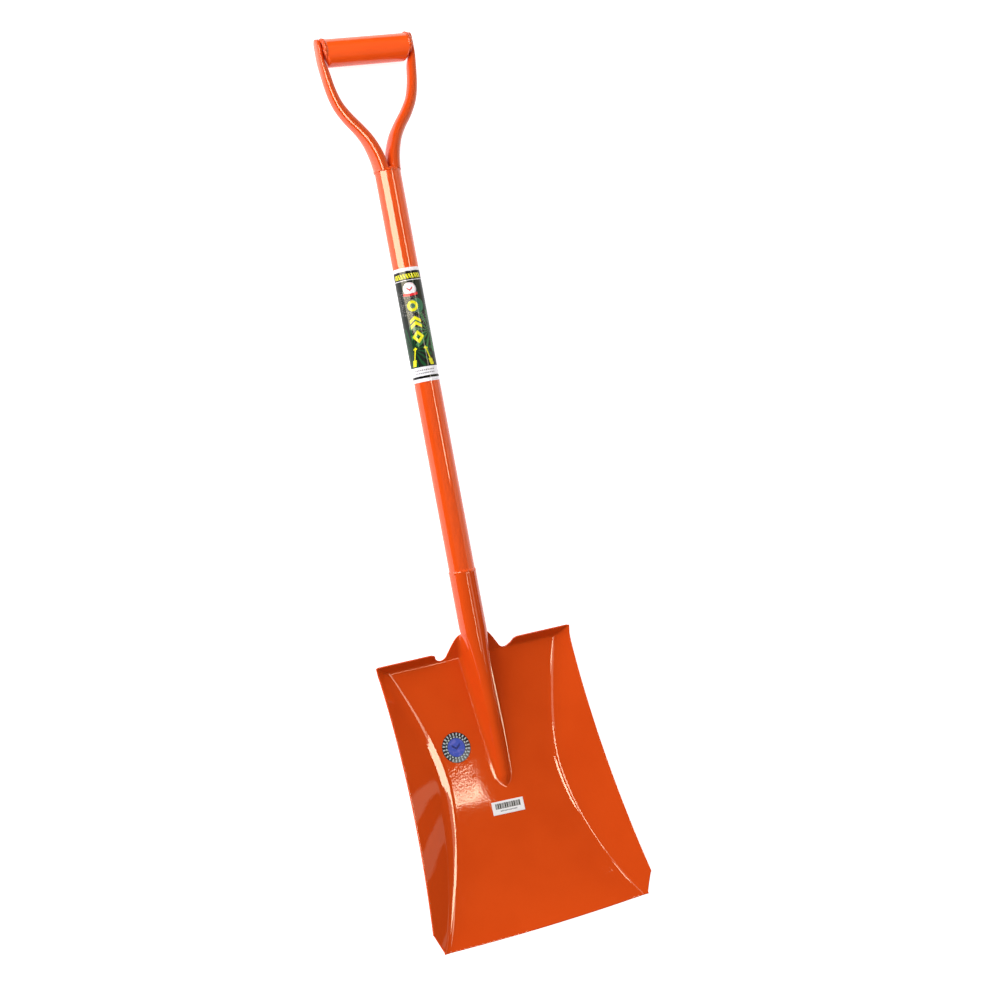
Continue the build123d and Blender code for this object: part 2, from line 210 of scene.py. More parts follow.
def add_lights(blade_pieces, tube_pieces, shaft_pieces, yoke_pieces, grip_pieces):
    """Sizes are across and along Y, in metres. Fills are only seen in the paint's colour
    and the others only in its gloss; the blade and the yoke have their own highlights."""
    side, right, left, down = (-1.75, 0.84, 1.32), (0.95, -0.1, -0.3), (-1.0, 0.0, 0.0), (0.0, 0.0, -1.0)
    fills = [add_area("left_fill", (-1.85, 0.84, 1.35), (2.4, 0.98), right, 6.3),
             add_area("strip_fill", (0.39, 0.385, 1.3), (0.12, 0.79), down, 12.0, shaft_pieces),
             add_area("grip_fill", (0.0, 0.6, 1.6), (0.8, 0.5), down, 11.5, grip_pieces)]
    for lamp in fills:
        lamp.visible_glossy = False
        lamp.data.color = (1.0, 1.0, 1.0)
    glosses = [add_area("left_softbox", side, (2.4, 0.98), right, 13.0, shaft_pieces),
               add_area("yoke_softbox", (-1.6, 0.15, 1.75), (1.1, 2.3), right, 13.0, yoke_pieces),
               add_area("overhead_strip", (0.42, 0.385, 1.2), (0.14, 0.79), down, 13.0, shaft_pieces),
               add_area("right_wall", (2.6, 0.2, 1.4), (2.8, 6.0), left, 1.1, tube_pieces),
               add_area("sheen", (0.0, 0.3, 4.0), (9.0, 9.0), down, 0.25, tube_pieces)]
    highlights = [("pan_patch", (0.60, -0.01, 2.0), (0.17, 0.187), 16.0),
                  ("left_crease", (1.45, 0.20, 2.0), (0.80, 0.26), 14.0),
                  ("left_crease_high", (1.25, 0.54, 2.0), (0.30, 0.42), 5.0),
                  ("left_line", (1.30, -0.20, 2.0), (0.50, 0.54), 1.6),
                  ("right_crease", (0.30, 0.10, 2.0), (0.10, 0.24), 11.0),
                  ("right_crease_low", (0.31, -0.21, 2.0), (0.14, 0.36), 9.0),
                  ("right_mouth", (0.49, 0.52, 2.0), (0.17, 0.22), 13.0),
                  ("right_line", (0.24, 0.46, 2.0), (0.20, 0.44), 2.0),
                  ("left_glow_high", (2.6, 0.06, 1.5), (0.45, 0.16), 0.9),
                  ("left_glow_low", (2.6, -0.31, 1.15), (0.35, 0.18), 0.7)]
    for name, centre, size, radiance in highlights:
        facing = Vector(BLADE_MIDDLE) - Vector(centre)
        glosses.append(add_area(name, centre, size, facing, radiance, blade_pieces))
    for lamp in glosses:
        lamp.visible_diffuse = False


def add_world():
    """Soft light that is stronger from the grip's side, and dark in reflections."""
    world = bpy.data.worlds.new("studio")
    bpy.context.scene.world = world
    world.use_nodes = True
    tree = world.node_tree
    split = tree.nodes.new("ShaderNodeSeparateXYZ")
    tree.links.new(tree.nodes.new("ShaderNodeTexCoord").outputs["Generated"], split.inputs[0])
    x, y, _ = (Field(tree, out) for out in split.outputs)
    soft = (y * 0.6 + x * 0.12 + 0.75).math("MAXIMUM", 0.12) * SOFT_LIGHT
    glossy = Field(tree, tree.nodes.new("ShaderNodeLightPath").outputs["Is Glossy Ray"])
    light = glossy * (soft * -1.0 + DARK_LIGHT) + soft
    tree.links.new(light.socket, tree.nodes["Background"].inputs["Strength"])
    tree.nodes["Background"].inputs["Color"].default_value = (1, 1, 1, 1)


# ---- material helpers ----

class Field:
    """A number in a material's node tree. Arithmetic on it adds Math nodes."""

    def __init__(self, tree, socket):
        self.tree = tree
        self.socket = socket

    def math(self, operation, *others):
        node = self.tree.nodes.new("ShaderNodeMath")
        node.operation = operation
        for target, value in zip(node.inputs, (self,) + others):
            if isinstance(value, Field):
                self.tree.links.new(value.socket, target)
            else:
                target.default_value = value
        return Field(self.tree, node.outputs[0])

    def __add__(self, other):
        return self.math("ADD", other)

    def __sub__(self, other):
        return self.math("SUBTRACT", other)

    def __mul__(self, other):
        return self.math("MULTIPLY", other)

    def __truediv__(self, other):
        return self.math("DIVIDE", other)

    def __gt__(self, other):
        return self.math("GREATER_THAN", other)

    def __lt__(self, other):
        return self.math("LESS_THAN", other)

    def __abs__(self):
        return self.math("ABSOLUTE")


def between(value, low, high):
    return (value > low) * (value < high)


def either(first, *rest):
    for other in rest:
        first = first.math("MAXIMUM", other)
    return first


def outside(mask):
    return mask * -1.0 + 1.0


def inside_box(u, v, centre, half):
    return (abs(u - centre[0]) < half[0]) * (abs(v - centre[1]) < half[1])


def distance(u, v, centre):
    du, dv = u - centre[0], v - centre[1]
    return (du * du + dv * dv).math("SQRT")


def inside_disc(u, v, centre, radius):
    return distance(u, v, centre) < radius


COAT_ROUGHNESS = 0.03


class Material:
    """A Principled material whose colour is built up in layers."""

    def __init__(self, name, colour, roughness, coat=0.0, specular=0.5):
        self.data = bpy.data.materials.new(name)
        self.data.use_nodes = True
        self.tree = self.data.node_tree
        self.shader = self.tree.nodes["Principled BSDF"]
        self.shader.inputs["Specular IOR Level"].default_value = specular
        self.shader.inputs["Coat Weight"].default_value = coat
        self.shader.inputs["Coat Roughness"].default_value = COAT_ROUGHNESS
        self.shader.inputs["Roughness"].default_value = roughness
        self.place = self.tree.nodes.new("ShaderNodeTexCoord").outputs["Object"]
        self.colour = self.constant(colour)
        self.normal = None

    def constant(self, colour):
        node = self.tree.nodes.new("ShaderNodeRGB")
        node.outputs[0].default_value = (*colour, 1)
        return node.outputs[0]

    def axes(self):
        """x, station and depth in millimetres."""
        node = self.tree.nodes.new("ShaderNodeSeparateXYZ")
        self.tree.links.new(self.place, node.inputs[0])
        x, y, z = (Field(self.tree, out) / MM for out in node.outputs)
        return x, y + MID_STATION, z - AXIS_HEIGHT

    def noise(self, size, detail=2.0):
        """Noise from 0 to 1 with lumps of about this size in millimetres."""
        node = self.tree.nodes.new("ShaderNodeTexNoise")
        node.inputs["Scale"].default_value = 1.0 / (size * MM)
        node.inputs["Detail"].default_value = detail
        self.tree.links.new(self.place, node.inputs["Vector"])
        return Field(self.tree, node.outputs["Fac"])

    def specks(self, spacing, radius):
        """Small dots, about one in each cell of this spacing."""
        node = self.tree.nodes.new("ShaderNodeTexVoronoi")
        node.inputs["Scale"].default_value = 1.0 / (spacing * MM)
        self.tree.links.new(self.place, node.inputs["Vector"])
        return Field(self.tree, node.outputs["Distance"]) < radius / spacing

    def smooth(self, value, low, high):
        node = self.tree.nodes.new("ShaderNodeMapRange")
        node.interpolation_type = "SMOOTHSTEP"
        node.inputs["From Min"].default_value = low
        node.inputs["From Max"].default_value = high
        self.tree.links.new(value.socket, node.inputs["Value"])
        return Field(self.tree, node.outputs["Result"])

    def paint(self, mask, colour):
        """Lays a colour over what is there, where the mask is 1."""
        node = self.tree.nodes.new("ShaderNodeMix")
        node.data_type = "RGBA"
        factor, first, second = node.inputs[0], node.inputs[6], node.inputs[7]
        self.tree.links.new(mask.socket, factor)
        self.tree.links.new(self.colour, first)
        if isinstance(colour, tuple):
            second.default_value = (*colour, 1)
        else:
            self.tree.links.new(colour, second)
        self.colour = node.outputs[2]

    def bump(self, height, depth):
        """Raises the surface by depth, in millimetres, where height is 1."""
        node = self.tree.nodes.new("ShaderNodeBump")
        node.inputs["Distance"].default_value = depth * MM
        self.tree.links.new(height.socket, node.inputs["Height"])
        if self.normal:
            self.tree.links.new(self.normal, node.inputs["Normal"])
        self.normal = node.outputs[0]

    def finish(self, roughness=None):
        if roughness:
            self.tree.links.new(roughness.socket, self.shader.inputs["Roughness"])
        if self.normal:
            self.tree.links.new(self.normal, self.shader.inputs["Normal"])
            self.tree.links.new(self.normal, self.shader.inputs["Coat Normal"])
        self.tree.links.new(self.colour, self.shader.inputs["Base Color"])
        return self.data


# ---- materials ----

ORANGE = (0.82, 0.084, 0.008)
ORANGE_DEEP = (0.70, 0.062, 0.005)


def enamel(name, wave, peel=0.012, dust=True):
    """Thick gloss enamel: long waves, orange peel and a few dust nibs."""
    m = Material(name, ORANGE, 0.22, coat=1.0, specular=0.0)
    m.shader.inputs["Coat IOR"].default_value = 1.6
    m.paint(m.smooth(m.noise(60.0), 0.35, 0.75) * 0.35, ORANGE_DEEP)
    m.paint(m.smooth(m.noise(3.0, 3.0), 0.55, 0.8) * 0.15, ORANGE_DEEP)
    m.bump(m.noise(36.0, 1.0), wave)
    m.bump(m.noise(2.2, 1.0), peel)
    if dust:
        m.bump(m.specks(17.0, 0.35), 0.05)
    return m.finish(m.noise(9.0, 3.0) * 0.08 + 0.18)


def label_film():
    """Printed film round the shaft, with plain bars, a badge, leaves and shapes."""
    m = Material("label_film", (0.012, 0.016, 0.013), 0.2, coat=0.6, specular=0.0)
    x, station, depth = m.axes()
    u = (x.math("ARCTAN2", depth) + LABEL_TURN) * SHAFT_RADIUS
    v = station * -1.0 + LABEL_END
    white, black = (0.95, 0.92, 0.96), (0.006, 0.006, 0.007)
    yellow, red = (0.86, 0.80, 0.02), (0.75, 0.03, 0.04)
    # leaf panel: ribs that fan out from two stems, a round leaf and pale gravel
    for centre, ribs, colour in (((-9.0, 92.0), 17.0, (0.012, 0.075, 0.025)),
                                 ((15.0, 74.0), 13.0, (0.05, 0.19, 0.06))):
        du, dv = u - centre[0], v - centre[1]
        fan = (dv.math("ARCTAN2", du) * ribs + m.noise(9.0) * 3.0).math("SINE")
        near = inside_disc(u, v, centre, 24.0)
        m.paint((fan > 0.25) * near, colour)
    m.paint(inside_disc(u, v, (5.5, 44.0), 8.2), (0.04, 0.17, 0.09))
    gravel = (m.noise(1.6, 4.0) > 0.56) * inside_box(u, v, (-4.0, 40.0), (12.0, 14.0))
    m.paint(gravel * 0.8, (0.22, 0.2, 0.2))
    gravel = (m.noise(1.2, 4.0) > 0.58) * inside_box(u, v, (5.0, 64.0), (12.0, 12.0))
    m.paint(gravel * 0.8, (0.25, 0.22, 0.22))
    m.paint(outside(between(v, 15.0, 114.0)), black)
    # three bold yellow shapes: a ring, a double chevron and a diamond
    ring = between(distance(u, v, (0.0, 44.0)), 3.0, 6.2)
    bent = v - abs(u) * 0.7
    chevron = either(between(bent, 55.5, 59.5), between(bent, 61.5, 65.5)) * (abs(u) < 6.4)
    diamond = (abs(u) * 1.1 + abs(v - 79.5)) < 7.6
    hole = (abs(u) * 1.1 + abs(v - 79.5)) < 3.0
    m.paint(either(ring, chevron, diamond * outside(hole)), yellow)
    # two small yellow digging tools above the lower band
    for side in (-1.0, 1.0):
        lean = u - (v - 104.0) * 0.25 * side - side * 9.0
        tool = either(inside_box(lean, v, (0.0, 101.0), (0.75, 10.0)),
                      inside_box(lean, v, (0.0, 93.0), (2.2, 0.9)),
                      inside_box(lean, v, (0.0, 109.0), (2.4, 3.6)))
        m.paint(tool, yellow)
    # round badge with a red mark and ribbon
    m.paint(inside_disc(u, v, (0.0, 24.5), 7.6), white)
    m.paint(between(distance(u, v, (0.0, 24.5)), 6.6, 6.9), red)
    m.paint(between(v + abs(u) * 0.9, 25.0, 27.1) * (abs(u) < 3.4), red)
    m.paint(inside_box(u, v - abs(u) * -0.12, (0.0, 31.3), (8.6, 1.5)), red)
    # bands at both ends
    dashes = (u - v * 0.3).math("PINGPONG", 1.6) < 1.05
    m.paint(dashes * between(v, 7.0, 12.4) * (abs(u) < 17.0), yellow)
    m.paint(between(v, 14.0, 14.7), white)
    m.paint(v < 4.0, white)
    m.paint(v > 114.0, white)
    words = (u.math("PINGPONG", 1.1) < 0.75) * (abs(u) < 12.0)
    m.paint(words * either(between(v, 117.0, 118.5), between(v, 120.3, 121.8)), (0.25, 0.24, 0.25))
    m.paint(between(v, 124.2, 127.0), black)
    m.bump(m.noise(20.0, 2.0), 0.02)
    return m.finish(m.noise(6.0) * 0.1 + 0.14)


def seal_foil():
    """Dark foil with silvery ticks and a blue centre, a painted sheen that makes its lower side paler, and
    painted rainbow tints that stand in for the hologram's shine.
    """
    m = Material("seal_foil", (0.010, 0.011, 0.016), 0.3, specular=0.1)
    x, station, _ = m.axes()
    u, v = x - SEAL_CENTRE[0], station - SEAL_CENTRE[1]
    radius = (u * u + v * v).math("SQRT")
    turn = v.math("ARCTAN2", u) / (2 * math.pi)
    # painted hologram shine: rainbow tints set by position, laid on in patches below
    painted_rainbow = m.tree.nodes.new("ShaderNodeValToRGB")
    stops = [(0.0, (0.20, 0.32, 0.62)), (0.3, (0.35, 0.52, 0.52)), (0.5, (0.52, 0.56, 0.38)),
             (0.7, (0.60, 0.36, 0.42)), (1.0, (0.30, 0.28, 0.62))]
    painted_rainbow.color_ramp.elements[0].color = (*stops[0][1], 1)
    painted_rainbow.color_ramp.elements[1].color = (*stops[-1][1], 1)
    for position, colour in stops[1:-1]:
        painted_rainbow.color_ramp.elements.new(position).color = (*colour, 1)
    drift = (u * 0.05 + v * 0.04 + m.noise(7.0)).math("PINGPONG", 1.0)
    m.tree.links.new(drift.socket, painted_rainbow.inputs[0])
    # painted sheen: the lower side of the foil turns paler grey
    m.paint(m.smooth(v * -1.0 + u * 0.4, 5.0, 14.0) * 0.4, (0.36, 0.38, 0.36))
    m.paint(m.smooth(m.noise(3.0), 0.5, 0.75) * 0.3, painted_rainbow.outputs[0])
    silver = (0.55, 0.62, 0.66)
    ticks = (turn * 24.0).math("PINGPONG", 0.5) < 0.17
    m.paint(ticks * between(radius, 13.4, 16.4), silver)
    marks = ((turn * 20.0).math("PINGPONG", 0.5) < 0.26) * between(radius, 11.0, 12.6)
    m.paint(marks, silver)
    m.paint(radius < SEAL_DISC, (0.05, 0.09, 0.52))
    m.paint((radius < SEAL_DISC) * m.smooth(m.noise(5.0, 3.0), 0.45, 0.7), (0.14, 0.15, 0.60))
    wing = between(v - abs(u) * 0.8, -2.6, 0.2) * (abs(u) < 5.0)
    m.paint(wing, (0.02, 0.03, 0.20))
    m.bump(m.noise(3.0, 2.0), 0.03)
    m.bump(((turn * 90.0).math("PINGPONG", 0.5)) * (radius > SEAL_DISC), 0.04)
    return m.finish(m.noise(4.0) * 0.15 + 0.2)


def code_film():
    """White sticker with black bars and one grey line below them."""
    m = Material("code_film", (0.95, 0.92, 0.94), 0.45)
    x, station, _ = m.axes()
    u0, v0 = x - CODE_CENTRE[0], station - CODE_CENTRE[1]
    cosine, sine = math.cos(CODE_TURN), math.sin(CODE_TURN)
    u = u0 * cosine + v0 * sine
    v = v0 * cosine - u0 * sine
    thin = u.math("PINGPONG", 0.62) < 0.36
    wide = (u + 0.4).math("PINGPONG", 1.45) < 0.48
    m.paint(either(thin, wide) * inside_box(u, v, (0.0, 1.9), (15.4, 3.1)), (0.02, 0.02, 0.022))
    words = (u.math("PINGPONG", 0.8) < 0.55) * inside_box(u, v, (0.0, -3.6), (10.5, 0.7))
    m.paint(words, (0.2, 0.2, 0.21))
    m.paint(m.smooth(m.noise(8.0), 0.4, 0.8) * 0.12, (0.6, 0.56, 0.55))
    m.bump(m.noise(1.0, 3.0), 0.01)
    return m.finish(m.noise(3.0) * 0.15 + 0.35)


def floor_board():
    m = Material("pale_floor", (0.93, 0.93, 0.93), 0.7, specular=0.0)
    m.paint(m.noise(300.0) * 0.1, (0.9, 0.9, 0.905))
    m.bump(m.noise(4.0), 0.02)
    m.shader.inputs["Emission Color"].default_value = (1.0, 1.0, 1.0, 1.0)
    m.shader.inputs["Emission Strength"].default_value = FLOOR_GLOW
    return m.finish()


# ---- mesh helpers ----

def add_piece(name, points, faces, material, replaced):
    """A smooth mesh piece from millimetre points, riding on the one rigid body."""
    mesh = bpy.data.meshes.new(name)
    mesh.from_pydata(place_all(points), [], faces)
    mesh.validate()
    mesh.polygons.foreach_set("use_smooth", [True] * len(mesh.polygons))
    mesh.materials.append(material)
    piece = bpy.data.objects.new(name, mesh)
    bpy.context.scene.collection.objects.link(piece)
    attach(piece, "root")
    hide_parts(*replaced)
    return piece


def grid_faces(rows, columns, start=0, loop=False):
    """Quads of a grid of points; loop joins the last column to the first."""
    faces = []
    for i in range(rows - 1):
        for j in range(columns if loop else columns - 1):
            k = (j + 1) % columns
            a, b = start + i * columns, start + (i + 1) * columns
            faces.append((a + j, a + k, b + k, b + j))
    return faces


def thicken(points, normals, faces, thickness, bulge):
    """Gives an open surface a back face and a rounded rim all round."""
    points, normals = np.array(points, float), np.array(normals, float)
    count = len(points)
    back = points - normals * thickness
    all_points = [tuple(p) for p in points] + [tuple(p) for p in back]
    all_faces = list(faces) + [tuple(count + i for i in reversed(f)) for f in faces]
    sides = {}
    for face in faces:
        sides.update(dict.fromkeys(zip(face, face[1:] + face[:1])))
    border = [(a, b) for a, b in sides if (b, a) not in sides]
    outward = {}
    for a, b in border:
        along = points[b] - points[a]
        out = np.cross(along, normals[a] + normals[b])
        out /= max(np.linalg.norm(out), 1e-9)
        for k in (a, b):
            outward[k] = outward.get(k, 0) + out
    arcs = {}
    for k, out in outward.items():
        out = out / max(np.linalg.norm(out), 1e-9)
        arcs[k] = [k]
        for step in range(1, RIM_STEPS):
            turn = math.pi * step / RIM_STEPS
            middle = points[k] - normals[k] * thickness * (1 - math.cos(turn)) / 2
            arcs[k].append(len(all_points))
            all_points.append(tuple(middle + out * bulge * math.sin(turn)))
        arcs[k].append(count + k)
    for a, b in border:
        for step in range(RIM_STEPS):
            all_faces.append((arcs[b][step], arcs[a][step], arcs[a][step + 1], arcs[b][step + 1]))
    return all_points, all_faces


# ---- height of the blade sheet, for arrays of points ----

def ramp(t, blend):
    """0 below, t above, with a parabola between them."""
    return np.where(t <= -blend, 0.0, np.where(t >= blend, t, (t + blend) ** 2 / (4 * blend)))


def pan_depth(station):
    run = np.maximum(HEEL - station, 0.0)
    return HEEL_DEPTH + PAN_SLOPE * run + LIP_RISE * (run / (HEEL - MOUTH)) ** LIP_POWER


def rim_depth(station):
    return RIM_DEPTH + RIM_SLOPE * (RIM_START - station)


def rim_x(station):
    return RIM_WAIST[0] + (station - RIM_WAIST[1]) ** 2 / (2 * RIM_RADIUS)


def crease_x(station):
    waist_x, waist_station = CREASE_WAIST
    above = np.maximum(station - waist_station, 0.0) / (HEEL - waist_station)
    below = np.maximum(waist_station - station, 0.0) / (waist_station - MOUTH)
    spread_top = CREASE_SPREAD_TOP * above ** CREASE_POWER
    return waist_x + spread_top + CREASE_SPREAD_MOUTH * below ** CREASE_POWER


def crease_blend(station):
    return np.minimum(CREASE_BLEND[0] + CREASE_BLEND_GROWTH * (station - MOUTH), CREASE_BLEND[1])


def wall_rise(x, station):
    top = np.minimum(station, HEEL)
    blend = crease_blend(top)
    share = ramp(np.abs(x) - crease_x(top), blend) / ramp(rim_x(top) - crease_x(top), blend)
    return (rim_depth(top) - pan_depth(top)) * share


def top_rise(x, station):
    """The treads outside the notches, and the collar between them."""
    across = np.clip((np.abs(x) - NOTCH_X + NOTCH_RADIUS) / (2 * NOTCH_RADIUS), 0.0, 1.0)
    slope = COLLAR_SLOPE + (TREAD_SLOPE - COLLAR_SLOPE) * across
    return slope * ramp(station - HEEL, FOLD_BLEND)


def base_depth(x, station):
    wall, top = wall_rise(x, station), top_rise(x, station)
    blend = np.minimum(MITRE_BLEND, np.minimum(wall, top)) + 1e-6
    return pan_depth(station) + top + ramp(wall - top, blend)


def ridge_shape(station):
    """Height, crest radius and flank angle of the ridge at a station."""
    down = SOCKET_START - station
    share = down / (SOCKET_START - RIDGE_END)
    crest = RIDGE_TOP + (RIDGE_TIP_TOP - RIDGE_TOP) * share
    nose = np.clip(ramp(station - RIDGE_END, RIDGE_NOSE_BLEND) / RIDGE_NOSE, 0.0, 1.0)
    height = np.maximum((crest - base_depth(0.0, station)) * nose * (2 - nose), 0.0)
    radius = RIDGE_TIP_RADIUS + (RIDGE_TOP - RIDGE_TIP_RADIUS) * np.exp(-down / RIDGE_TAPER)
    steep = RIDGE_FLANK[0] + (RIDGE_FLANK[1] - RIDGE_FLANK[0]) * np.clip(share, 0.0, 1.0)
    return height, np.minimum(radius, RIDGE_TOP), np.radians(steep)


def ridge_breaks(height, radius, steep):
    """Half widths where the crest arc, the flank and the foot fillet end."""
    arcs = radius + RIDGE_FOOT
    angle = np.minimum(steep, np.arccos(np.clip(1 - height / arcs, -1.0, 1.0)))
    flank = (height - arcs * (1 - np.cos(angle))) / np.maximum(np.tan(angle), 1e-6)
    crest_end = radius * np.sin(angle)
    flank_end = crest_end + np.maximum(flank, 0.0)
    return crest_end, flank_end, flank_end + RIDGE_FOOT * np.sin(angle)


def ridge_rise(x, station):
    height, radius, steep = ridge_shape(station)
    crest_end, flank_end, foot_end = ridge_breaks(height, radius, steep)
    x = np.abs(x)
    foot = RIDGE_FOOT - np.sqrt(np.maximum(RIDGE_FOOT ** 2 - np.maximum(foot_end - x, 0.0) ** 2, 0.0))
    foot_top = RIDGE_FOOT - np.sqrt(np.maximum(RIDGE_FOOT ** 2 - (foot_end - flank_end) ** 2, 0.0))
    crest_low = height - radius + np.sqrt(np.maximum(radius ** 2 - crest_end ** 2, 0.0))
    share = (x - crest_end) / np.maximum(flank_end - crest_end, 1e-6)
    flank = crest_low + (foot_top - crest_low) * share
    crest = height - radius + np.sqrt(np.maximum(radius ** 2 - x ** 2, 0.0))
    rise = np.where(x >= flank_end, foot, np.where(x > crest_end, flank, crest))
    return np.where((x >= foot_end) | (height < 1e-4), 0.0, rise)


def blade_depth(x, station):
    return base_depth(x, station) + ridge_rise(x, station)


def sheet_normal(x, station):
    step = 0.05
    across = (blade_depth(x + step, station) - blade_depth(x - step, station)) / (2 * step)
    along = (blade_depth(x, station + step) - blade_depth(x, station - step)) / (2 * step)
    normal = np.stack([-across, -along, np.ones_like(across)], -1)
    return normal / np.linalg.norm(normal, axis=-1, keepdims=True)


# ---- blade outline and mesh lines ----

def outline_top(x):
    """Station of the blade's upper edge: socket, collar, notch and tread."""
    foot_x, foot_station = COLLAR_FOOT
    x = abs(x)
    if x <= SOCKET_OD / 2:
        return SOCKET_START
    if x < foot_x:
        share = (x - SOCKET_OD / 2) / (foot_x - SOCKET_OD / 2)
        bulge = 4 * COLLAR_BULGE * share * (1 - share)
        return SOCKET_START + (foot_station - SOCKET_START) * share + bulge
    if x < NOTCH_X + NOTCH_RADIUS:
        return TREAD_EDGE - math.sqrt(NOTCH_RADIUS ** 2 - (x - NOTCH_X) ** 2)
    return TREAD_EDGE


def outline_bottom(x):
    corner_x, corner_station = MOUTH_CORNER
    return MOUTH + (corner_station - MOUTH) * min(abs(x) / corner_x, 1.0) ** 2


def edge_x(station):
    (rim_end, rim_station), (mouth_x, mouth_station) = RIM_CORNER, MOUTH_CORNER
    if station >= rim_station:
        return float(rim_x(station))
    share = (rim_station - station) / (rim_station - mouth_station)
    return rim_end + (mouth_x - rim_end) * min(share, 1.0)


def blade_columns(station):
    """Half widths of the mesh lines that follow ridge, notch, crease and rim."""
    height, radius, steep = (float(v) for v in ridge_shape(station))
    breaks = ridge_breaks(max(height, RIDGE_LOWEST), radius, steep)
    crest_end, flank_end, foot_end = (float(v) for v in breaks)
    flank_end = max(flank_end, crest_end + RIDGE_LEAST_FLANK)
    foot_end = max(foot_end, flank_end + RIDGE_LEAST_FOOT)
    low = min(station, FOLD_ZONE[0])
    edge = edge_x(station)
    pan_start = NOTCH_X - NOTCH_RADIUS
    blend = float(crease_blend(low))
    crease = min(float(crease_x(low)), edge - CREASE_MARGIN * blend)
    pan_end = crease - blend
    share = (pan_end - pan_start) / (float(crease_x(FOLD_ZONE[0])) - blend - pan_start)
    notch = [-NOTCH_RADIUS * math.cos(math.pi * t) for t in spread(0.0, 1.0, 18)]
    columns = spread(0.0, crest_end, CREST_COLUMNS) + spread(crest_end, flank_end, 3)[1:]
    columns += spread(flank_end, foot_end, 6)[1:] + spread(foot_end, pan_start, 6)[1:-1]
    columns += [pan_start + share * (NOTCH_RADIUS + n) for n in notch]
    columns += spread(columns[-1], pan_end, 10)[1:]
    columns += spread(pan_end, crease + blend, 14)[1:]
    columns += spread(columns[-1], edge - 0.7, 9)[1:] + [edge]
    return columns


def blade_stations():
    rows = [MOUTH, MOUTH + 0.7] + spread(MOUTH + 2.5, RIM_CORNER[1], 13)
    rows += spread(RIM_CORNER[1], RIDGE_ZONE[0], 58)[1:]
    rows += spread(RIDGE_ZONE[0], RIDGE_ZONE[1], 30)[1:]
    rows += spread(RIDGE_ZONE[1], FOLD_ZONE[0], 70)[1:]
    rows += spread(FOLD_ZONE[0], FOLD_ZONE[1], 24)[1:]
    return rows + spread(FOLD_ZONE[1], SOCKET_START - 0.8, 14)[1:] + [SOCKET_START]


def fit_station(x, station):
    """Moves a nominal station so that the first and last rows follow the outline."""
    low, high = RIM_CORNER[1], FOLD_ZONE[0]
    if station > high:
        return high + (station - high) / (SOCKET_START - high) * (outline_top(x) - high)
    if station < low:
        return low + (low - station) / (low - MOUTH) * (outline_bottom(x) - low)
    return station


def build_blade(material):
    """The pressed sheet and its socket as one surface, then given its thickness."""
    places = []
    for nominal in blade_stations():
        half = blade_columns(nominal)
        row = [-c for c in reversed(half)] + half[1:]
        places.append([(x, fit_station(x, nominal)) for x in row])
    places = np.array(places)
    rows, columns, _ = places.shape
    x, station = places[..., 0], places[..., 1]
    depth = blade_depth(x, station)
    normals = sheet_normal(x, station)
    last = normals[-1]
    last[:, 1] = 0.0
    last /= np.linalg.norm(last, axis=-1, keepdims=True)
    points = np.stack([x, station, depth], -1).reshape(-1, 3).tolist()
    normals = normals.reshape(-1, 3).tolist()
    faces = grid_faces(rows, columns)

    # the socket continues the crest's columns up to the shaft, and closes behind
    radius = SOCKET_OD / 2
    middle = columns // 2
    crest = list(range(middle - CREST_COLUMNS, middle + CREST_COLUMNS + 1))
    top_row = (rows - 1) * columns
    angles = [math.asin(max(min(x[-1][j] / radius, 1.0), -1.0)) for j in crest]
    closing = spread(angles[-1], 2 * math.pi + angles[0], SOCKET_BACK_COLUMNS)[1:-1]
    starts = [top_row + j for j in crest]
    for angle in closing:
        low = max(-math.cos(angle), 0.0)
        starts.append(len(points))
        points.append([radius * math.sin(angle), SOCKET_START + SOCKET_BACK_OPENING * low,
                       radius * math.cos(angle)])
        normals.append([math.sin(angle), 0.0, math.cos(angle)])
    before = starts
    for step in range(1, SOCKET_ROWS + 1):
        ring = []
        for angle, first in zip(angles + closing, starts):
            begin = points[first][1]
            ring.append(len(points))
            points.append([radius * math.sin(angle), begin * (1 - step / SOCKET_ROWS),
                           radius * math.cos(angle)])
            normals.append([math.sin(angle), 0.0, math.cos(angle)])
        for k in range(len(ring)):
            n = (k + 1) % len(ring)
            faces.append((before[k], before[n], ring[n], ring[k]))
        before = ring
    points, faces = thicken(points, normals, faces, SHEET, 0.45)
    return add_piece("blade_sheet", points, faces, material, ["blade"])


# ---- tubes, welds and stickers ----

def tube(name, profile, material, replaced, around=AROUND):
    """A turned shape about the shaft axis from (station, radius) pairs."""
    points = []
    for station, radius in profile:
        for k in range(around):
            turn = 2 * math.pi * k / around
            points.append((radius * math.sin(turn), station, radius * math.cos(turn)))
    faces = grid_faces(len(profile), around, loop=True)
    return add_piece(name, points, faces, material, replaced)


def lump(angle, seed):
    """An uneven hand-welded profile, from about -1 to 1."""
    waves = ((3, 0.30), (7, 0.28), (13, 0.42), (24, 0.30))
    return sum(size * math.sin(count * angle + seed * (count + 1.7)) for count, size in waves)


def ring_weld(name, station, seed, material):
    """A lumpy bead round the shaft."""
    around, across = 160, WELD_ACROSS
    radius = SHAFT_RADIUS - RING_WELD_DEPTH
    points = []
    for k in range(around):
        turn = 2 * math.pi * k / around
        size = RING_WELD_BEAD * (1 + 0.22 * lump(turn, seed))
        shift = 0.55 * lump(turn, seed + 2.0)
        for c in range(across):
            angle = 2 * math.pi * c / across
            reach = radius + size * 0.8 * math.cos(angle)
            points.append((reach * math.sin(turn), station + shift + size * math.sin(angle),
                           reach * math.cos(turn)))
    faces = grid_faces(around, across, loop=True)
    faces += [((around - 1) * across + c, (around - 1) * across + (c + 1) % across,
               (c + 1) % across, c) for c in range(across)]
    return add_piece(name + "_bead", points, faces, material, [name + "_weld"])


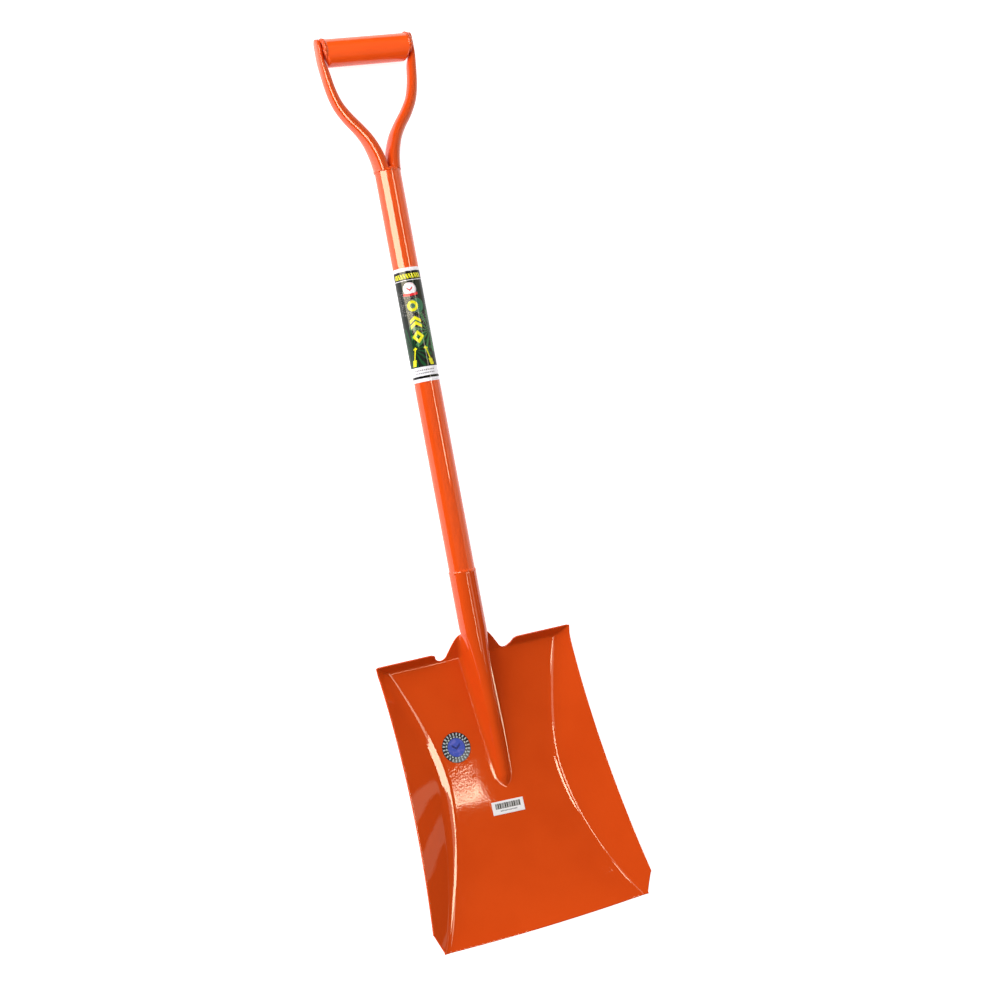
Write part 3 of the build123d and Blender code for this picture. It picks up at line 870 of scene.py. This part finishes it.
# Each section of a branch: distance from the axis, station, half width, half depth and
# how square its inner side is. The foot is a half round and the top is pressed flat.
BRANCH_SECTIONS = [
    (7.6, SHAFT_END, 7.3, 14.6, 0.35),
    (10.0, SHAFT_END + 17.0, 7.6, 13.5, 0.5),
    (16.0, SHAFT_END + 35.5, 7.4, 11.6, 0.8),
    (24.3, SHAFT_END + 49.5, 7.0, 10.0, 1.0),
    (35.3, SHAFT_END + 64.0, 6.8, 9.2, 1.0),
    (44.3, SHAFT_END + 79.5, 6.3, 8.8, 1.0),
    (49.6, SHAFT_END + 97.5, 5.8, 8.6, 1.0),
    (52.6, SHAFT_END + 117.0, 5.0, 8.6, 1.0),
    (54.9, SHAFT_END + 130.0, 3.4, 8.7, 1.0),
    (55.2, GRIP_STATION + 8.0, 3.2, 8.7, 1.0),
]
BRANCH_STEPS = 10
BRANCH_AROUND = 56


def between_sections(k, t):
    """Catmull-Rom point between branch sections k and k + 1."""
    last = len(BRANCH_SECTIONS) - 1
    p = [np.array(BRANCH_SECTIONS[min(max(k + d, 0), last)]) for d in (-1, 0, 1, 2)]
    return 0.5 * (2 * p[1] + (p[2] - p[0]) * t + (2 * p[0] - 5 * p[1] + 4 * p[2] - p[3]) * t ** 2
                  + (3 * p[1] - p[0] - 3 * p[2] + p[3]) * t ** 3)


def power(value, exponent):
    return math.copysign(abs(value) ** exponent, value)


def build_branch(name, side, material):
    """A branch of the yoke, ending in a flat plate with a round top."""
    rings = [between_sections(k, t / BRANCH_STEPS)
             for k in range(len(BRANCH_SECTIONS) - 1) for t in range(BRANCH_STEPS)]
    plate_x, plate_station, plate_width, plate_half, _ = BRANCH_SECTIONS[-1]
    for t in spread(0.0, 1.0, 12):
        rise = math.sin(t * math.pi / 2) * plate_half
        reach = max(plate_half * math.cos(t * math.pi / 2), 0.5)
        width = plate_width * (1 - 0.25 * t ** 4)
        rings.append(np.array([plate_x, plate_station + rise, width, reach, 1.0]))
    points = []
    for k, (x, station, width, depth, inner) in enumerate(rings):
        low, high = rings[max(k - 1, 0)], rings[min(k + 1, len(rings) - 1)]
        lean = Vector((high[0] - low[0], high[1] - low[1], 0)).normalized()
        across = Vector((lean.y, -lean.x, 0))
        flat = min(max((station - SHAFT_END - 100.0) / 30.0, 0.0), 1.0)
        for n in range(BRANCH_AROUND):
            turn = 2 * math.pi * n / BRANCH_AROUND
            reach = power(math.cos(turn), inner if math.cos(turn) < 0 else 1.0 - 0.25 * flat)
            up = power(math.sin(turn), 1.0 - 0.3 * flat)
            spot = Vector((x, station, 0)) + across * width * reach
            points.append((side * spot.x, spot.y, depth * up))
    faces = grid_faces(len(rings), BRANCH_AROUND, loop=True)
    top = (len(rings) - 1) * BRANCH_AROUND
    faces.append(tuple(range(top, top + BRANCH_AROUND)))
    if side > 0:
        faces = [tuple(reversed(f)) for f in faces]
    return add_piece(name + "_painted", points, faces, material, [name])


def build_grip(material):
    """The grip tube with closed, rounded ends, whose lower side is cut back."""
    around = AROUND
    radius = GRIP_OD / 2
    end_turns = spread(0.0, math.pi / 2, 7)
    profile = [(1 + (GRIP_ROUND * (math.sin(a) - 1)) / GRIP_HALF, radius - GRIP_ROUND * (1 - math.cos(a)))
               for a in end_turns] + [(1.0, (radius - GRIP_ROUND) * f) for f in (0.75, 0.5, 0.25, 0.02)]
    middle = [(x, radius) for x in spread(-profile[0][0], profile[0][0], 60)]
    profile = [(-x, r) for x, r in reversed(profile[1:])] + middle + profile[1:]
    points = []
    for share, reach in profile:
        for k in range(around):
            turn = 2 * math.pi * k / around
            low = max(-math.cos(turn), 0.0) * reach / radius
            points.append((share * (GRIP_HALF - GRIP_MITRE * low), GRIP_STATION + reach * math.cos(turn),
                           reach * math.sin(turn)))
    faces = grid_faces(len(profile), around, loop=True)
    last = (len(profile) - 1) * around
    faces += [tuple(reversed(range(around))), tuple(range(last, last + around))]
    return add_piece("grip_tube_painted", points, faces, material, ["grip_tube"])


def grip_weld(side, material):
    """A lumpy bead where a plate of the yoke meets the grip, left open below."""
    name = "grip_weld_right" if side > 0 else "grip_weld_left"
    around, across = 110, WELD_ACROSS
    points = []
    for k in range(around + 1):
        turn = math.radians(GRIP_WELD_HALF_TURN * (2 * k / around - 1))
        fade = min(1.0, 8 * min(k, around - k) / around + 0.05)
        size = GRIP_WELD_BEAD * fade * (1 + 0.25 * lump(turn * 2, side + 3.0))
        shift = 0.5 * lump(turn * 1.5, side + 5.0)
        for c in range(across):
            angle = 2 * math.pi * c / across
            reach = GRIP_OD / 2 - 1.6 + size * math.cos(angle)
            x = side * (GRIP_HALF - 1.2 + shift + size * math.sin(angle))
            points.append((x, GRIP_STATION + reach * math.cos(turn), reach * math.sin(turn)))
    faces = grid_faces(around + 1, across, loop=True)
    faces += [tuple(range(across)), tuple(range(around * across, (around + 1) * across))]
    return add_piece(name + "_bead", points, faces, material, [name])


def seam_weld(material):
    """The weld that closes the back of the socket."""
    start, end = SOCKET_START + SOCKET_BACK_OPENING + SEAM_WELD_GAP, -SEAM_WELD_GAP
    along, across = 90, 12
    points = []
    for i in range(along + 1):
        t = i / along
        fade = math.sqrt(max(1 - (2 * t - 1) ** 16, 0.01))
        size = SEAM_WELD_BEAD * fade * (1 + 0.18 * math.sin(i * 1.1) + 0.1 * math.sin(i * 0.37))
        for c in range(across):
            angle = 2 * math.pi * c / across
            points.append((1.5 * size * math.sin(angle), start + (end - start) * t,
                           -SOCKET_OD / 2 - 0.1 + size * math.cos(angle)))
    faces = grid_faces(along + 1, across, loop=True)
    faces += [tuple(range(across)), tuple(range(along * across, (along + 1) * across))]
    return add_piece("socket_seam_bead", points, faces, material, ["socket_seam_weld"])


def pan_sticker(name, plan, faces, material, replaced):
    """A thin sheet laid on the pan from plan points."""
    points = [(x, s, float(pan_depth(s)) + STICKER_LIFT + STICKER_THICK) for x, s in plan]
    normals = []
    for _, s in plan:
        slope = float(pan_depth(s + 0.5) - pan_depth(s - 0.5))
        normals.append(tuple(Vector((0, -slope, 1)).normalized()))
    points, faces = thicken(points, normals, faces, STICKER_THICK, 0.08)
    return add_piece(name, points, faces, material, replaced)


def build_seal(material):
    rings, around = 16, 144
    plan = [SEAL_CENTRE]
    for i in range(1, rings + 1):
        for k in range(around):
            turn = 2 * math.pi * k / around
            teeth = 0.22 * math.cos(36 * turn) if i == rings else 0.0
            reach = SEAL_RADIUS * i / rings + teeth - 0.22
            plan.append((SEAL_CENTRE[0] + reach * math.cos(turn), SEAL_CENTRE[1] + reach * math.sin(turn)))
    faces = [(0, 1 + k, 1 + (k + 1) % around) for k in range(around)]
    faces += grid_faces(rings, around, start=1, loop=True)
    faces = faces[:around] + [tuple(reversed(f)) for f in faces[around:]]
    return pan_sticker("seal_disc", plan, faces, material, ["round_seal"])


def build_code_sticker(material):
    cosine, sine = math.cos(CODE_TURN), math.sin(CODE_TURN)
    along, across = 30, 12
    plan = []
    for i in range(across + 1):
        for j in range(along + 1):
            u = CODE_SIZE[0] * (j / along - 0.5)
            v = CODE_SIZE[1] * (i / across - 0.5)
            plan.append((CODE_CENTRE[0] + u * cosine - v * sine, CODE_CENTRE[1] + u * sine + v * cosine))
    faces = grid_faces(across + 1, along + 1)
    return pan_sticker("barcode_film", plan, faces, material, ["barcode_sticker"])


def build_shaft(material):
    """The round shaft, with paint that thickens a little at both welds."""
    stations = [0.0, 1.0, 2.0, 3.0, 4.5, 6.0, 9.0] + spread(15.0, SHAFT_END - 15.0, 90)
    stations += [SHAFT_END - s for s in (9.0, 6.0, 4.5, 3.0, 2.0, 1.0, 0.0)]
    profile = []
    for station in stations:
        near = min(station, SHAFT_END - station)
        profile.append((station, SHAFT_RADIUS + 0.35 * math.exp(-near / 2.5)))
    return tube("shaft_painted", profile, material, ["shaft_tube"])


def build_label(material):
    start, end = LABEL_LOW[1] + MID_STATION, LABEL_END
    radius = (LABEL_HIGH[0] - LABEL_LOW[0]) / 2
    profile = [(start, SHAFT_RADIUS - 0.1), (start, radius - 0.05), (start + 0.1, radius)]
    profile += [(s, radius) for s in spread(start + 0.5, end - 0.5, 40)]
    profile += [(end - 0.1, radius), (end, radius - 0.05), (end, SHAFT_RADIUS - 0.1)]
    return tube("label_wrap", profile, material, ["shaft_label"], around=128)


def build_floor():
    half = FLOOR_SIZE / 2
    mesh = bpy.data.meshes.new("floor")
    corners = [(x, y, FLOOR_LEVEL) for x, y in ((-half, -half), (half, -half), (half, half), (-half, half))]
    mesh.from_pydata(corners, [], [(0, 1, 2, 3)])
    mesh.materials.append(floor_board())
    floor = bpy.data.objects.new("floor", mesh)
    bpy.context.scene.collection.objects.link(floor)


# ---- the scene ----

def collection_of(name, pieces):
    group = bpy.data.collections.new(name)
    for piece in pieces:
        group.objects.link(piece)
    return group


pressed_paint = enamel("enamel_pressed", 0.09)
tube_paint = enamel("enamel_tube", 0.03)
weld_paint = enamel("enamel_weld", 0.05, peel=0.03, dust=False)

blade_pieces = [build_blade(pressed_paint), build_seal(seal_foil()), build_code_sticker(code_film())]
shaft_pieces = [build_shaft(tube_paint), build_label(label_film())]
for weld_name, weld_station, seed in (("socket", 0.0, 1.0), ("yoke", SHAFT_END, 4.0)):
    shaft_pieces.append(ring_weld(weld_name, weld_station, seed, weld_paint))
yoke_pieces = []
grip_pieces = [build_grip(tube_paint)]
for side_name, side in (("left", -1), ("right", 1)):
    yoke_pieces.append(build_branch("yoke_branch_" + side_name, side, tube_paint))
    yoke_pieces.append(grip_weld(side, weld_paint))
tube_pieces = shaft_pieces + yoke_pieces + grip_pieces
tube_pieces.append(seam_weld(weld_paint))

add_camera()
groups = {"blade": blade_pieces, "tubes": tube_pieces, "shaft": shaft_pieces,
          "yoke": yoke_pieces, "grip": grip_pieces}
add_lights(*(collection_of("lit_" + name, pieces) for name, pieces in groups.items()))
add_world()
build_floor()

bpy.context.scene.view_settings.view_transform = "Standard"
bpy.context.scene.view_settings.look = "None"
